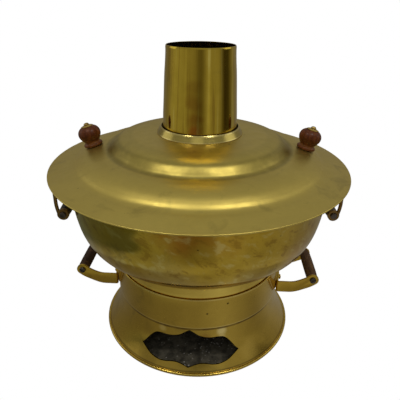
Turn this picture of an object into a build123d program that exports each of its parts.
from build123d import *
import os
from math import sin, cos, radians, sqrt, hypot

# Brass charcoal hot pot: a windowed base, a bowl with a fire chamber and a chimney through
# its middle, and a stepped lid with two turned wooden knobs.
# Millimetres, +Z up.  The origin is on the table, at the centre of the base.  The base
# handles lie along X (right is +X), and the fire window faces -Y, the front.
# Profiles of round pieces are (r, z) points, revolved about Z.

os.makedirs("parts", exist_ok=True)

# ---------------------------------------------------------------------------
# shared dimensions
# ---------------------------------------------------------------------------

pot_turn = 4.0            # the bails are turned this far about Z on the base, degrees
bolt_r = 2.0              # bolts through the handle and bail grips
run_clear = 0.05          # radial running clearance
hole_clear = 0.02         # radial clearance of bolt and nut holes
bolt_hole_r = bolt_r + hole_clear
rivet_r = 1.55
rivet_hole_r = 1.6

# ---------------------------------------------------------------------------
# helpers
# ---------------------------------------------------------------------------


def offset_points(points, distance):
    """Points moved by distance to the left of the direction of travel."""
    moved = []
    last = len(points) - 1
    for i, (x, y) in enumerate(points):
        before = points[max(i - 1, 0)]
        after = points[min(i + 1, last)]
        dx, dy = after[0] - before[0], after[1] - before[1]
        length = hypot(dx, dy)
        moved.append((x - dy / length * distance, y + dx / length * distance))
    return moved


def interpolate(points, x):
    """Second coordinate of a polyline where its first, rising coordinate is x."""
    for (x1, y1), (x2, y2) in zip(points[:-1], points[1:]):
        if x1 <= x <= x2:
            return y1 + (y2 - y1) * (x - x1) / (x2 - x1)
    return points[-1][1]


def mirror_half(half):
    """A half outline that ends on the middle line, followed by its mirror image."""
    return half + [(-x, y) for x, y in reversed(half[:-1])]


def draw_wall(face, back):
    """Closed outline between two splines, drawn into the open BuildLine."""
    Spline(*face)
    Line(face[-1], back[-1])
    Spline(*reversed(back))
    Line(back[0], face[0])


def radial_plane(turn, across=0.0):
    """Upright plane: local x outward, local y up, normal to the front at no turn.

    across moves it along the tangent, towards the back at no turn.
    """
    c, s = cos(radians(turn)), sin(radians(turn))
    return Plane(origin=(-across * s, across * c, 0), x_dir=(c, s, 0), z_dir=(s, -c, 0))


def tangent_axis(turn, x, z):
    """Axis along the tangent at radius x and height z."""
    c, s = cos(radians(turn)), sin(radians(turn))
    return Axis(origin=(x * c, x * s, z), direction=(-s, c, 0))


def tangent_plane(turn, x, z):
    """Plane holding the tangent axis: local x along the tangent, local y up."""
    c, s = cos(radians(turn)), sin(radians(turn))
    return Plane(origin=(x * c, x * s, z), x_dir=(-s, c, 0), z_dir=(c, s, 0))


def turned_copy(right, rise=0.0):
    """The left piece of a pair: the right one raised and turned half round Z."""
    with BuildPart() as piece:
        add(right.moved(Location((0, 0, rise))), rotation=(0, 0, 180))
    return piece.part


def mirrored_copy(right, rise):
    """The left piece of a pair: the right one raised and mirrored in X."""
    with BuildPart() as piece:
        add(mirror(right.moved(Location((0, 0, rise))), about=Plane.YZ, mode=Mode.PRIVATE))
    return piece.part


def make_nut(plane, centre, corner_r, hole_r, thickness):
    """Hexagon nut."""
    with BuildPart() as piece:
        with BuildSketch(plane):
            with Locations(centre):
                RegularPolygon(corner_r, 6)
                Circle(hole_r, mode=Mode.SUBTRACT)
        extrude(amount=thickness)
    return piece.part


def make_grip(turn, x, z, half_length, flank, radii):
    """Turned wooden sleeve on a bolt along the tangent.

    radii: at the end, 1.2 in from it, at flank from the middle, and in the middle.
    """
    end_r, shoulder_r, flank_r, middle_r = radii
    bore_r = bolt_r + run_clear
    outline = mirror_half([(-half_length, end_r), (-half_length + 1.2, shoulder_r),
                           (-flank, flank_r), (0, middle_r)])
    with BuildPart() as piece:
        with BuildSketch(tangent_plane(turn, x, z)):
            with BuildLine():
                Line((-half_length, bore_r), outline[0])
                Spline(*outline)
                Line(outline[-1], (half_length, bore_r))
                Line((half_length, bore_r), (-half_length, bore_r))
            make_face()
        revolve(axis=tangent_axis(turn, x, z))
    return piece.part


# ---------------------------------------------------------------------------
# base: dimensions
# ---------------------------------------------------------------------------

skirt_t = 1.2
skirt_outer = [
    (115.6, 2.6), (113.6, 6.0), (111.8, 9.0), (108.0, 16.0), (104.3, 24.0), (101.5, 32.0),
    (99.7, 40.0), (98.6, 47.0), (98.1, 53.0), (98.0, 57.0), (98.0, 63.2)]
foot_bead_r = 1.8         # bead round the skirt's foot, cut flat at the table
foot_bead_ring_r = 115.8
foot_bead_z = 1.7

# right half of the window's outline: angle from its middle (degrees), height
window_turn = -2.0        # the window is cut a little off the middle, degrees
window_top = [
    (0.0, 50.0), (2.8, 47.1), (5.9, 43.5), (9.7, 41.3), (13.9, 40.3), (18.3, 40.4),
    (21.8, 39.4), (23.9, 36.9), (27.1, 30.4), (29.9, 23.4), (31.5, 20.8)]
window_bottom = [
    (29.6, 18.8), (27.0, 16.1), (24.1, 13.4), (20.7, 11.5), (17.2, 10.5), (13.5, 11.0),
    (10.3, 12.0), (6.9, 12.2), (3.7, 10.8), (0.0, 8.2)]

neck_bottom_r = 99.6
neck_top_r = 99.2
neck_inner_r = 97.9
neck_lap_r = 98.3         # inside of the neck where it laps over the skirt
neck_bottom_z = 53.2
neck_lap_z = 64.2         # top of the lap
neck_step_z = 67.4        # where the inside has narrowed to neck_inner_r
neck_top_z = 92.0
neck_chamfer = 0.5
seat_z = 72.0
seat_t = 2.0
seat_inner_r = 90.0
floor_z = 2.0
floor_t = 1.2

# handle plate section (r, z), and half outlines (y, z) of its lower and upper edges
plate_section = [(99.62, 54.0), (99.24, 91.4), (100.64, 91.4), (101.02, 54.0), (99.62, 54.0)]
plate_lower_half = [(56.0, 91.0), (47.5, 75.4), (38.0, 64.4), (22.0, 58.2), (0, 57.0)]
plate_upper_half = [(-51.0, 91.0), (-44.0, 82.0), (-36.0, 75.4), (-20.0, 71.6), (0, 70.6)]

strap_t = 2.0
strap_low_z = 55.6
strap_high_z = 70.2
strap_back_r = 101.1
strap_front_r = strap_back_r + strap_t
arm_y = 31.0              # outer face of each arm
arm_start_x = 97.04
arm_bend_x = 112.0        # the arms start to curve up here
eye_x = 139.9
eye_z = 74.3
eye_r = 7.0
left_rise = 1.4           # the left handle is riveted on a little higher

rivet_ys = (-10.0, 10.0)
rivet_z = 62.8
rivet_head_h = 1.7
# rivet holes through the skirt and neck: y, side in X, z
rivet_holes = [(y, side, rivet_z + (left_rise if side < 0 else 0.0))
               for y in rivet_ys for side in (1, -1)]
# rivet stages: start x, radius, length
rivet_stages = [
    (95.0, rivet_r, 8.6),
    (strap_front_r, 3.2, rivet_head_h),
    (94.3, 2.8, 1.3)]

grip_bolt_back_y = 35.2
grip_bolt_head_r = 3.7
grip_bolt_head_h = 2.1
grip_bolt_slot_y = -arm_y - 1.2
grip_nut_corner_r = 4.0
grip_nut_t = 2.6

# ---------------------------------------------------------------------------
# base: pieces
# ---------------------------------------------------------------------------


def window_point(angle, z):
    """Window point on a flat chord of the skirt: distance across, height."""
    skirt_r = interpolate([(skirt_z, r) for r, skirt_z in skirt_outer], z)
    return skirt_r * sin(radians(angle)), z


def make_base_skirt():
    """Flared skirt with a bead at its foot, the fire window and the rivet holes."""
    right_top = [window_point(angle, z) for angle, z in window_top]
    right_bottom = [window_point(angle, z) for angle, z in window_bottom]
    left_top = [(-x, z) for x, z in reversed(right_top)]
    left_bottom = [(-x, z) for x, z in reversed(right_bottom)]
    window_splines = [
        right_top[:6], right_top[5:],
        [right_top[-1]] + right_bottom[:5], right_bottom[4:],
        left_bottom[:6], left_bottom[5:] + [left_top[0]],
        left_top[:6], left_top[5:]]
    with BuildPart() as piece:
        with BuildSketch(Plane.XZ):
            with BuildLine():
                draw_wall(skirt_outer, offset_points(skirt_outer, skirt_t))
            make_face()
            with Locations((foot_bead_ring_r, foot_bead_z)):
                Circle(foot_bead_r)
            with Locations((foot_bead_ring_r, -5)):
                Rectangle(20, 10, mode=Mode.SUBTRACT)
        revolve(axis=Axis.Z)
        # the window is cut straight through, towards the front
        with BuildSketch(radial_plane(window_turn).offset(60)):
            with BuildLine():
                for points in window_splines:
                    Spline(*points)
            make_face()
        extrude(amount=70, mode=Mode.SUBTRACT)
        for y, side, z in rivet_holes:
            with BuildSketch(Plane.YZ.offset(90 * side)):
                with Locations((y, z)):
                    Circle(rivet_hole_r)
            extrude(amount=20 * side, mode=Mode.SUBTRACT)
    return piece.part


def make_base_neck():
    """Upright neck that laps over the top of the skirt."""
    with BuildPart() as piece:
        with BuildSketch(Plane.XZ):
            with BuildLine():
                Polyline((neck_bottom_r, neck_bottom_z),
                         (neck_top_r, neck_top_z - neck_chamfer),
                         (neck_top_r - neck_chamfer, neck_top_z),
                         (neck_inner_r, neck_top_z),
                         (neck_inner_r, neck_step_z),
                         (neck_lap_r, neck_lap_z),
                         (neck_lap_r, neck_bottom_z),
                         (neck_bottom_r, neck_bottom_z))
            make_face()
        revolve(axis=Axis.Z)
        for y, side, z in rivet_holes:
            with BuildSketch(Plane.YZ.offset(90 * side)):
                with Locations((y, z)):
                    Circle(rivet_hole_r)
            extrude(amount=20 * side, mode=Mode.SUBTRACT)
    return piece.part


def make_pot_seat_ring():
    """Flat ring inside the neck that the pot's foot stands on."""
    with BuildPart() as piece:
        with BuildSketch(Plane.XY.offset(seat_z - seat_t)):
            Circle(neck_inner_r)
            Circle(seat_inner_r, mode=Mode.SUBTRACT)
        extrude(amount=seat_t)
    return piece.part


def make_base_floor():
    """Floor disc with a turned-up edge."""
    with BuildPart() as piece:
        with BuildSketch(Plane.XZ):
            with BuildLine():
                Polyline((0, floor_z), (111.8, floor_z), (112.6, floor_z + 1.0),
                         (111.3, floor_z + 4.0), (110.3, floor_z + 4.0),
                         (111.2, floor_z + floor_t), (0, floor_z + floor_t), (0, floor_z))
            make_face()
        revolve(axis=Axis.Z)
    return piece.part


def make_handle_plate():
    """Right handle plate: a curved saddle on the neck, with a horn rising at each end."""
    lower = mirror_half(plate_lower_half)
    upper = mirror_half(plate_upper_half)
    with BuildPart() as piece:
        with BuildSketch(Plane.XZ):
            with BuildLine():
                Polyline(*plate_section)
            make_face()
        revolve(axis=Axis.Z)
        with BuildSketch(Plane.YZ):
            with BuildLine():
                Spline(*lower)
                Line(lower[-1], upper[0])
                Spline(*upper)
                Line(upper[-1], lower[0])
            make_face()
        extrude(amount=130, mode=Mode.INTERSECT)
        for y in rivet_ys:
            with BuildSketch(Plane.YZ.offset(90)):
                with Locations((y, rivet_z)):
                    Circle(rivet_hole_r)
            extrude(amount=20, mode=Mode.SUBTRACT)
    return piece.part


def make_handle_strap():
    """Right handle strap: a flat U-shaped strip, its arms curving up to round eyes."""
    arm_middle_x = (arm_start_x + arm_bend_x) / 2
    arm_middle_y = arm_y - strap_t / 2
    # where the arm's lower and upper edges meet the eye
    eye_low = (eye_x + 3.3, eye_z - 6.17)
    eye_high = (eye_x - 4.7, eye_z + 5.19)
    with BuildPart() as piece:
        with BuildSketch(Plane.XY.offset(strap_low_z)) as plan:
            Circle(strap_front_r)
            Circle(strap_back_r, mode=Mode.SUBTRACT)
            with Locations((100, 0)):
                Rectangle(40, 2 * arm_y, mode=Mode.INTERSECT)
            with Locations((arm_middle_x, arm_middle_y), (arm_middle_x, -arm_middle_y)):
                Rectangle(arm_bend_x - arm_start_x, strap_t)
            # round the outer corners, then the hollows inside the arms
            corners = plan.vertices().filter_by(lambda v: v.X < 96.8)
            fillet(corners, 2.6)
            hollows = plan.vertices().filter_by(
                lambda v: 98.5 < v.X < 99.4 and 28.6 < abs(v.Y) < 29.4)
            fillet(hollows, 0.8)
        extrude(amount=strap_high_z - strap_low_z)
        for arm_back_y in (arm_y, strap_t - arm_y):
            with BuildSketch(radial_plane(0, arm_back_y)):
                with BuildLine():
                    Spline((arm_bend_x, strap_low_z), (121.5, 57.2), (132.5, 61.8), eye_low,
                           tangents=((1, 0), (0.75, 0.66)))
                    Line(eye_low, (eye_x, eye_z))
                    Line((eye_x, eye_z), eye_high)
                    Spline(eye_high, (128.3, 74.9), (121.0, 71.6), (arm_bend_x, strap_high_z),
                           tangents=((-0.72, -0.69), (-1, 0)))
                    Line((arm_bend_x, strap_high_z), (arm_bend_x, strap_low_z))
                make_face()
                with Locations((eye_x, eye_z)):
                    Circle(eye_r)
                    Circle(bolt_hole_r, mode=Mode.SUBTRACT)
            extrude(amount=strap_t)
        for y in rivet_ys:
            with BuildSketch(Plane.YZ.offset(95)):
                with Locations((y, rivet_z)):
                    Circle(rivet_hole_r)
            extrude(amount=20, mode=Mode.SUBTRACT)
    return piece.part


def make_handle_rivets():
    """Right pair of rivets, domed on the outside."""
    head_x = strap_front_r + rivet_head_h
    with BuildPart() as piece:
        for y in rivet_ys:
            for start_x, radius, length in rivet_stages:
                with BuildSketch(Plane.YZ.offset(start_x)):
                    with Locations((y, rivet_z)):
                        Circle(radius)
                extrude(amount=length)
        fillet(piece.edges().filter_by(GeomType.CIRCLE).filter_by(
            lambda e: abs(e.center().X - head_x) < 0.01), 1.3)
    return piece.part


def make_grip_bolt():
    """Right grip bolt, its slotted head in front."""
    with BuildPart() as piece:
        with BuildSketch(radial_plane(0, grip_bolt_back_y)):
            with Locations((eye_x, eye_z)):
                Circle(bolt_r)
        extrude(amount=grip_bolt_back_y + arm_y + 1.0)
        with BuildSketch(radial_plane(0, -arm_y)):
            with Locations((eye_x, eye_z)):
                Circle(grip_bolt_head_r)
        extrude(amount=grip_bolt_head_h)
        fillet(piece.edges().filter_by(GeomType.CIRCLE).group_by(Axis.Y)[0], 0.9)
        with BuildSketch(radial_plane(0, grip_bolt_slot_y)):
            with Locations((eye_x, eye_z)):
                Rectangle(9, 1.0, rotation=35)
        extrude(amount=2, mode=Mode.SUBTRACT)
    return piece.part


# ---------------------------------------------------------------------------
# pot: dimensions
# ---------------------------------------------------------------------------

bowl_t = 1.4
bowl_outer = [
    (72.0, 103.4), (84.0, 103.6), (93.0, 104.8), (101.0, 107.9), (110.0, 113.6),
    (118.7, 120.8), (126.0, 127.5), (132.0, 135.1), (137.3, 147.0), (141.2, 164.0),
    (143.6, 182.0), (146.2, 196.0), (148.2, 205.0), (149.0, 209.6)]
rim_bead_r = 1.9
rim_ring_r = 149.1
rim_z = 210.4
foot_t = 1.4
foot_outer = [(97.4, 72.0), (97.4, 90.0), (97.4, 98.0), (97.9, 103.2), (99.6, 107.4),
              (102.6, 112.0)]

# fire chamber, grate and chimney
cone_t = 1.2
cone_outer = [
    (71.8, 98.0), (71.8, 106.4), (69.6, 116.0), (62.0, 139.0), (52.0, 164.0),
    (44.6, 182.0), (42.0, 188.5), (41.5, 192.0), (41.5, 203.0)]
cone_flange = [(71.0, 104.9), (84.0, 105.02), (84.0, 106.2), (71.0, 106.1), (71.0, 104.9)]
grate_z = 99.6
grate_t = 4.0
grate_r = 70.2
grate_middle_hole_r = 5.0
# rings of grate holes: ring radius, number of holes, hole radius
grate_rings = [(16.0, 6, 4.2), (31.0, 12, 4.8), (47.0, 18, 5.2)]
chimney_t = 1.0
chimney_outer = [
    (40.3, 188.0), (40.3, 210.0), (40.3, 232.0), (40.25, 252.0), (39.9, 265.0), (39.1, 280.0),
    (38.1, 300.0), (37.5, 310.0), (36.7, 320.0), (36.15, 330.0), (36.1, 334.0), (35.6, 335.5)]

# ---------------------------------------------------------------------------
# pot: pieces
# ---------------------------------------------------------------------------


def make_bowl():
    """Bowl with a beaded rim, open in the middle for the fire chamber."""
    with BuildPart() as piece:
        with BuildSketch(Plane.XZ):
            with BuildLine():
                draw_wall(bowl_outer, offset_points(bowl_outer, bowl_t))
            make_face()
            with Locations((rim_ring_r, rim_z)):
                Circle(rim_bead_r)
        revolve(axis=Axis.Z)
    return piece.part


def make_foot_ring():
    """Foot under the bowl, its top trimmed to the bowl's outer face."""
    bowl_bottom_z, bowl_top_z = bowl_outer[0][1], bowl_outer[-1][1]
    with BuildPart() as piece:
        with BuildSketch(Plane.XZ):
            with BuildLine():
                draw_wall(foot_outer, offset_points(foot_outer, foot_t))
            make_face()
        revolve(axis=Axis.Z)
        with BuildSketch(Plane.XZ):
            with BuildLine():
                Spline(*bowl_outer)
                Line(bowl_outer[-1], (60.0, bowl_top_z))
                Line((60.0, bowl_top_z), (60.0, bowl_bottom_z))
                Line((60.0, bowl_bottom_z), bowl_outer[0])
            make_face()
        revolve(axis=Axis.Z, mode=Mode.SUBTRACT)
    return piece.part


def make_fire_cone():
    """Fire chamber wall, with a flange on the bowl's floor and a ledge under the grate."""
    cone_inner = offset_points(cone_outer, cone_t)
    bottom_r, bottom_z = cone_outer[0]
    top_r, top_z = cone_outer[-1]
    inside_top = (top_r - cone_t, top_z)
    inside_neck = (top_r - cone_t, cone_outer[-2][1])
    inside_shoulder = (bottom_r - cone_t, 106.0)
    inside_bottom = (bottom_r - cone_t, bottom_z)
    ledge_z = grate_z - 0.02
    with BuildPart() as piece:
        with BuildSketch(Plane.XZ):
            with BuildLine():
                Polyline(*cone_outer[:2])
                Spline(*cone_outer[1:-1])
                Line(cone_outer[-2], cone_outer[-1])
                Line(cone_outer[-1], inside_top)
                Line(inside_top, inside_neck)
                Spline(*[inside_neck, *reversed(cone_inner[2:-2]), inside_shoulder])
                Line(inside_shoulder, inside_bottom)
                Line(inside_bottom, cone_outer[0])
            make_face()
            with BuildLine():
                Polyline(*cone_flange)
            make_face()
            with BuildLine():
                Polyline((62.0, bottom_z), (71.0, bottom_z), (71.0, ledge_z), (62.0, ledge_z),
                         (62.0, bottom_z))
            make_face()
        revolve(axis=Axis.Z)
    return piece.part


def make_fire_grate():
    """Round grate with rings of holes."""
    with BuildPart() as piece:
        with BuildSketch(Plane.XY.offset(grate_z)):
            Circle(grate_r)
            Circle(grate_middle_hole_r, mode=Mode.SUBTRACT)
            for ring_r, count, hole_r in grate_rings:
                with PolarLocations(ring_r, count):
                    Circle(hole_r, mode=Mode.SUBTRACT)
        extrude(amount=grate_t)
    return piece.part


def make_chimney():
    """Chimney tube, straight at the bottom and tapering towards the top."""
    chimney_inner = offset_points(chimney_outer, chimney_t)
    inside_bottom = (chimney_outer[0][0] - chimney_t, chimney_outer[0][1])
    with BuildPart() as piece:
        with BuildSketch(Plane.XZ):
            with BuildLine():
                Line(chimney_outer[0], chimney_outer[2])
                Spline(*chimney_outer[2:])
                Line(chimney_outer[-1], chimney_inner[-1])
                Spline(*reversed(chimney_inner[2:]))
                Line(chimney_inner[2], inside_bottom)
                Line(inside_bottom, chimney_outer[0])
            make_face()
        revolve(axis=Axis.Z)
    return piece.part


# ---------------------------------------------------------------------------
# bails under the bowl's rim: dimensions
# ---------------------------------------------------------------------------

bail_x = 152.6            # pivot line
bail_z = 198.6
bail_wire_r = 2.0
bail_arm_y = 30.0
bail_eye_x = 152.4
bail_eye_z = 157.0
bail_eye_r = 6.5
bail_eye_t = 3.5
bail_drop_x = 159.0       # straight part of the arms
bail_drop_z = 172.0       # its lower end
bail_corner_r = 3.0       # corner at the top of each arm
bail_bend_r = 3.4         # bends at the ends of the pivot wire

barrel_r = 3.7
barrel_half = 25.0

bail_plate_gap = 0.25     # between the plate and the bowl wall
bail_plate_t = 1.4
# outline: distance along the tangent, height
bail_plate_outline = [(44, 203.5), (56, 176), (20, 187), (-20, 187), (-56, 176),
                      (-44, 203.5), (0, 203.5), (44, 203.5)]
bail_rivet_ys = (-36.0, 36.0)
bail_rivet_z = 192.5
# rivet stages: start radius from Z, stage radius, length
bail_rivet_stages = [(143.9, rivet_r, 3.2), (144.9, 3.0, 2.2)]

bail_head_r = 3.5
bail_head_h = 1.9
bail_eye_face = bail_arm_y + bail_eye_t / 2
# bolt stages: start along the tangent, radius, length towards the plane's normal
bail_bolt_right_stages = [
    (35.4, bolt_r, 35.4 + bail_arm_y + 2.6),
    (-bail_eye_face, bail_head_r, bail_head_h)]
bail_bolt_left_stages = [
    (bail_eye_face + bail_head_h, bail_head_r, bail_head_h),
    (32.0, bolt_r, 67.4)]
bail_nut_corner_r = 3.9
bail_nut_t = 2.5
bail_nut_face = bail_arm_y + 1.8

# ---------------------------------------------------------------------------
# bails: pieces
# ---------------------------------------------------------------------------


def make_bail_plate():
    """Right bail plate: a saddle on the bowl wall, wider at its bottom edge."""
    bowl_part = bowl_outer[8:13]
    with BuildPart() as piece:
        with BuildSketch(Plane.XZ):
            with BuildLine():
                draw_wall(offset_points(bowl_part, -bail_plate_gap),
                          offset_points(bowl_part, -bail_plate_gap - bail_plate_t))
            make_face()
        revolve(axis=Axis.Z)
        with BuildSketch(tangent_plane(pot_turn, 0, 0)):
            with BuildLine():
                Polyline(*bail_plate_outline)
            make_face()
        extrude(amount=170, mode=Mode.INTERSECT)
        for y in bail_rivet_ys:
            with BuildSketch(tangent_plane(pot_turn, 120, 0)):
                with Locations((y, bail_rivet_z)):
                    Circle(rivet_hole_r)
            extrude(amount=40, mode=Mode.SUBTRACT)
    return piece.part


def make_bail_rivets():
    """Right pair of bail plate rivets."""
    with BuildPart() as piece:
        for y in bail_rivet_ys:
            for start, radius, length in bail_rivet_stages:
                with BuildSketch(tangent_plane(pot_turn, start, 0)):
                    with Locations((y, bail_rivet_z)):
                        Circle(radius)
                extrude(amount=length)
    return piece.part


def make_bail_barrel():
    """Right barrel: the tube that the bail's wire turns in."""
    with BuildPart() as piece:
        with BuildSketch(radial_plane(pot_turn, barrel_half)):
            with Locations((bail_x, bail_z)):
                Circle(barrel_r)
                Circle(bail_wire_r + run_clear, mode=Mode.SUBTRACT)
        extrude(amount=2 * barrel_half)
    return piece.part


def make_bail_blank():
    """Bent wire bail with round eyes, square to X."""
    y = -bail_arm_y
    arc_middle = 1 - sqrt(0.5)      # inset of a quarter arc's middle, as a share of its radius
    corner_inset = bail_corner_r * arc_middle
    bend_inset = bail_bend_r * arc_middle
    # front half of the path, from the eye up the arm to the pivot wire
    front = [
        (156.80, y, bail_eye_z),
        (158.45, y, 164.42),
        (bail_drop_x, y, bail_drop_z),
        (bail_drop_x, y, bail_z - bail_corner_r),
        (bail_drop_x - corner_inset, y, bail_z - corner_inset),
        (bail_drop_x - bail_corner_r, y, bail_z),
        (bail_x + bend_inset, y + bend_inset, bail_z),
        (bail_x, y + bail_bend_r, bail_z)]
    back = [(px, -py, pz) for px, py, pz in reversed(front)]
    with BuildPart() as piece:
        with BuildLine() as path:
            ThreePointArc(*front[0:3])
            Line(front[2], front[3])
            ThreePointArc(*front[3:6])
            ThreePointArc(*front[5:8])
            Line(front[7], back[0])
            ThreePointArc(*back[0:3])
            ThreePointArc(*back[2:5])
            Line(back[4], back[5])
            ThreePointArc(*back[5:8])
        wire = path.wires()[0]
        with BuildSketch(Plane(origin=wire @ 0, z_dir=wire % 0)):
            Circle(bail_wire_r)
        sweep(path=wire)
        for arm in (bail_arm_y, -bail_arm_y):
            with BuildSketch(radial_plane(0, arm + bail_eye_t / 2)):
                with Locations((bail_eye_x, bail_eye_z)):
                    Circle(bail_eye_r)
            extrude(amount=bail_eye_t)
        with BuildSketch(radial_plane(0, 40)):
            with Locations((bail_eye_x, bail_eye_z)):
                Circle(bolt_hole_r)
        extrude(amount=80, mode=Mode.SUBTRACT)
    return piece.part


def make_bail(blank, turn):
    """The bail blank turned into place."""
    with BuildPart() as piece:
        add(blank, rotation=(0, 0, turn))
    return piece.part


def make_bail_bolt(turn, stages):
    """Bolt through a bail's eyes."""
    with BuildPart() as piece:
        for start, radius, length in stages:
            with BuildSketch(radial_plane(turn, start)):
                with Locations((bail_eye_x, bail_eye_z)):
                    Circle(radius)
            extrude(amount=length)
    return piece.part


def make_bail_nut(turn, start):
    """Nut on a bail's bolt."""
    return make_nut(radial_plane(turn, start), (bail_eye_x, bail_eye_z),
                    bail_nut_corner_r, bolt_hole_r, bail_nut_t)


# ---------------------------------------------------------------------------
# lid and knobs: dimensions
# ---------------------------------------------------------------------------

lid_t = 1.2
lid_outer = [
    (43.6, 245.0), (50.0, 245.0), (62.0, 244.6), (74.0, 243.4), (84.0, 241.4), (90.5, 238.7),
    (95.3, 234.6), (98.4, 231.5), (101.0, 230.2), (105.0, 229.6), (112.0, 228.5),
    (120.0, 226.4), (127.0, 223.7), (132.5, 220.5), (137.0, 217.4), (140.6, 216.0),
    (146.0, 214.7), (155.0, 212.2), (164.6, 209.5)]
brim_bead_r = 0.9
collar_t = 1.0
collar_bottom_z = 245.3
collar_outer = [(47.0, 245.7), (45.9, 247.5), (44.8, 249.2), (43.7, 251.0), (42.6, 252.7)]

knob_ring_r = 118.6
knob_tilt = 15.0          # outward from upright, degrees
knob_turn = 2.5           # degrees
knob_lift = 0.7           # of the knob's foot above the lid's profile, along the knob's axis
knob_base_z = interpolate(lid_outer, knob_ring_r)
knob_bore_r = 1.65
knob_h = 22.0
# outlines on a knob's axis: radius, height above its foot
knob_outline = [
    (9.6, 0), (10.4, 0.9), (10.2, 2.5), (9.0, 3.6), (8.2, 4.5), (8.5, 5.5), (10.1, 7.8),
    (11.7, 10.7), (12.3, 13.8), (11.8, 16.8), (10.2, 19.3), (7.9, 21.2), (5.8, knob_h)]
cup_outline = [
    (knob_bore_r, 22.05), (6.5, 22.05), (6.6, 22.35), (5.4, 22.85), (3.6, 23.55),
    (knob_bore_r, 23.8), (knob_bore_r, 22.05)]
stud_r = 1.6
stud_hole_r = 1.75        # in the lid
stud_bottom = -6.4
stud_head_bottom = 23.85
stud_head_r = 2.9
stud_top = 25.9
knob_nut_bottom = -5.2
knob_nut_corner_r = 4.0
knob_nut_t = 2.6

# ---------------------------------------------------------------------------
# lid and knobs: pieces
# ---------------------------------------------------------------------------


def knob_plane(turn, height=0.0):
    """Plane across a knob's axis at a height over its foot, normal along the axis."""
    c, s = cos(radians(turn)), sin(radians(turn))
    lean, upright = sin(radians(knob_tilt)), cos(radians(knob_tilt))
    r = knob_ring_r + lean * (height + knob_lift)
    z = knob_base_z + upright * (height + knob_lift)
    return Plane(origin=(r * c, r * s, z), x_dir=(-s, c, 0), z_dir=(lean * c, lean * s, upright))


# the right knob's frame: a plane with local x across and local y along the axis
knob_foot = knob_plane(knob_turn)
knob_side = Plane(origin=knob_foot.origin, x_dir=knob_foot.x_dir,
                  z_dir=knob_foot.x_dir.cross(knob_foot.z_dir))
knob_axis = Axis(origin=knob_foot.origin, direction=knob_foot.z_dir)


def make_lid_shell():
    """Stepped lid with a beaded brim and a hole for each knob's stud."""
    brim_r, brim_z = lid_outer[-1]
    with BuildPart() as piece:
        with BuildSketch(Plane.XZ):
            with BuildLine():
                draw_wall(lid_outer, offset_points(lid_outer, -lid_t))
            make_face()
            with Locations((brim_r - 0.35, brim_z - 0.55)):
                Circle(brim_bead_r)
        revolve(axis=Axis.Z)
        for turn in (knob_turn, knob_turn + 180):
            with BuildSketch(knob_plane(turn, -8.0)):
                Circle(stud_hole_r)
            extrude(amount=16, mode=Mode.SUBTRACT)
    return piece.part


def make_lid_collar():
    """Tapered collar round the lid's middle hole."""
    outer_foot = (collar_outer[0][0], collar_bottom_z)
    inner = offset_points(collar_outer, collar_t)
    inner[0] = (inner[0][0], collar_bottom_z)
    with BuildPart() as piece:
        with BuildSketch(Plane.XZ):
            with BuildLine():
                Spline(*collar_outer)
                Line(collar_outer[-1], inner[-1])
                Spline(*reversed(inner))
                Line(inner[0], outer_foot)
                Line(outer_foot, collar_outer[0])
            make_face()
        revolve(axis=Axis.Z)
    return piece.part


def make_knob():
    """Right turned knob: foot disc, neck and onion-shaped ball."""
    with BuildPart() as piece:
        with BuildSketch(knob_side):
            with BuildLine():
                Line((knob_bore_r, 0), knob_outline[0])
                Spline(*knob_outline, tangents=((1, 0.3), (-1, 0.15)))
                Line(knob_outline[-1], (knob_bore_r, knob_h))
                Line((knob_bore_r, knob_h), (knob_bore_r, 0))
            make_face()
        revolve(axis=knob_axis)
    return piece.part


def make_knob_cup():
    """Domed brass washer under the right stud's head."""
    with BuildPart() as piece:
        with BuildSketch(knob_side):
            with BuildLine():
                Polyline(*cup_outline)
            make_face()
        revolve(axis=knob_axis)
    return piece.part


def make_knob_stud():
    """Right stud: domed head on top, its shank through the knob and the lid."""
    with BuildPart() as piece:
        with BuildSketch(knob_side):
            with BuildLine():
                Line((0, stud_bottom), (stud_r, stud_bottom))
                Line((stud_r, stud_bottom), (stud_r, stud_head_bottom))
                Line((stud_r, stud_head_bottom), (stud_head_r, stud_head_bottom))
                Spline((stud_head_r, stud_head_bottom), (2.3, 25.2), (0, stud_top),
                       tangents=((0, 1), (-1, 0)))
                Line((0, stud_top), (0, stud_bottom))
            make_face()
        revolve(axis=knob_axis)
    return piece.part


# ---------------------------------------------------------------------------
# assembly and export
# ---------------------------------------------------------------------------

pieces = {
    "base_skirt": make_base_skirt(),
    "base_neck": make_base_neck(),
    "pot_seat_ring": make_pot_seat_ring(),
    "base_floor": make_base_floor(),
    "bowl": make_bowl(),
    "foot_ring": make_foot_ring(),
    "fire_cone": make_fire_cone(),
    "fire_grate": make_fire_grate(),
    "chimney": make_chimney(),
    "lid_shell": make_lid_shell(),
    "lid_collar": make_lid_collar(),
}


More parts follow.
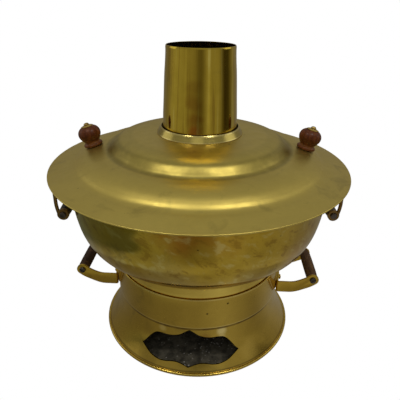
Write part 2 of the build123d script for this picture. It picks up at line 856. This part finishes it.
def add_pair(name, right, left):
    pieces[name + "_right"] = right
    pieces[name + "_left"] = left


# the left base handle is raised; its bolt and nut are mirrored so the head stays in front
base_turned = {
    "base_handle_plate": make_handle_plate(),
    "base_handle_strap": make_handle_strap(),
    "base_handle_rivets": make_handle_rivets(),
    "base_grip": make_grip(0, eye_x, eye_z, half_length=arm_y - strap_t - 0.25, flank=18.0,
                           radii=(5.6, 6.3, 6.6, 6.7)),
}
base_mirrored = {
    "base_grip_bolt": make_grip_bolt(),
    "base_grip_nut": make_nut(radial_plane(0, arm_y + grip_nut_t), (eye_x, eye_z),
                              grip_nut_corner_r, bolt_hole_r, grip_nut_t),
}
turned = {
    "bail_plate": make_bail_plate(),
    "bail_rivets": make_bail_rivets(),
    "bail_barrel": make_bail_barrel(),
    "bail_grip": make_grip(pot_turn, bail_eye_x, bail_eye_z,
                           half_length=bail_arm_y - bail_wire_r - 0.3, flank=17.0,
                           radii=(5.3, 6.0, 6.4, 6.5)),
    "knob": make_knob(),
    "knob_cup": make_knob_cup(),
    "knob_stud": make_knob_stud(),
    "knob_nut": make_nut(knob_plane(knob_turn, knob_nut_bottom), (0, 0),
                         knob_nut_corner_r, stud_r + hole_clear, knob_nut_t),
}
for name, right in base_turned.items():
    add_pair(name, right, turned_copy(right, left_rise))
for name, right in base_mirrored.items():
    add_pair(name, right, mirrored_copy(right, left_rise))
for name, right in turned.items():
    add_pair(name, right, turned_copy(right))

# both bail bolts have their heads in front, so the left ones aren't turned copies
bail_blank = make_bail_blank()
add_pair("bail", make_bail(bail_blank, pot_turn), make_bail(bail_blank, pot_turn + 180))
add_pair("bail_bolt",
         make_bail_bolt(pot_turn, bail_bolt_right_stages),
         make_bail_bolt(pot_turn + 180, bail_bolt_left_stages))
add_pair("bail_nut",
         make_bail_nut(pot_turn, bail_nut_face + bail_nut_t),
         make_bail_nut(pot_turn + 180, -bail_nut_face))

for name, part in pieces.items():
    part.label = name
    export_step(part, "parts/" + name + ".step")
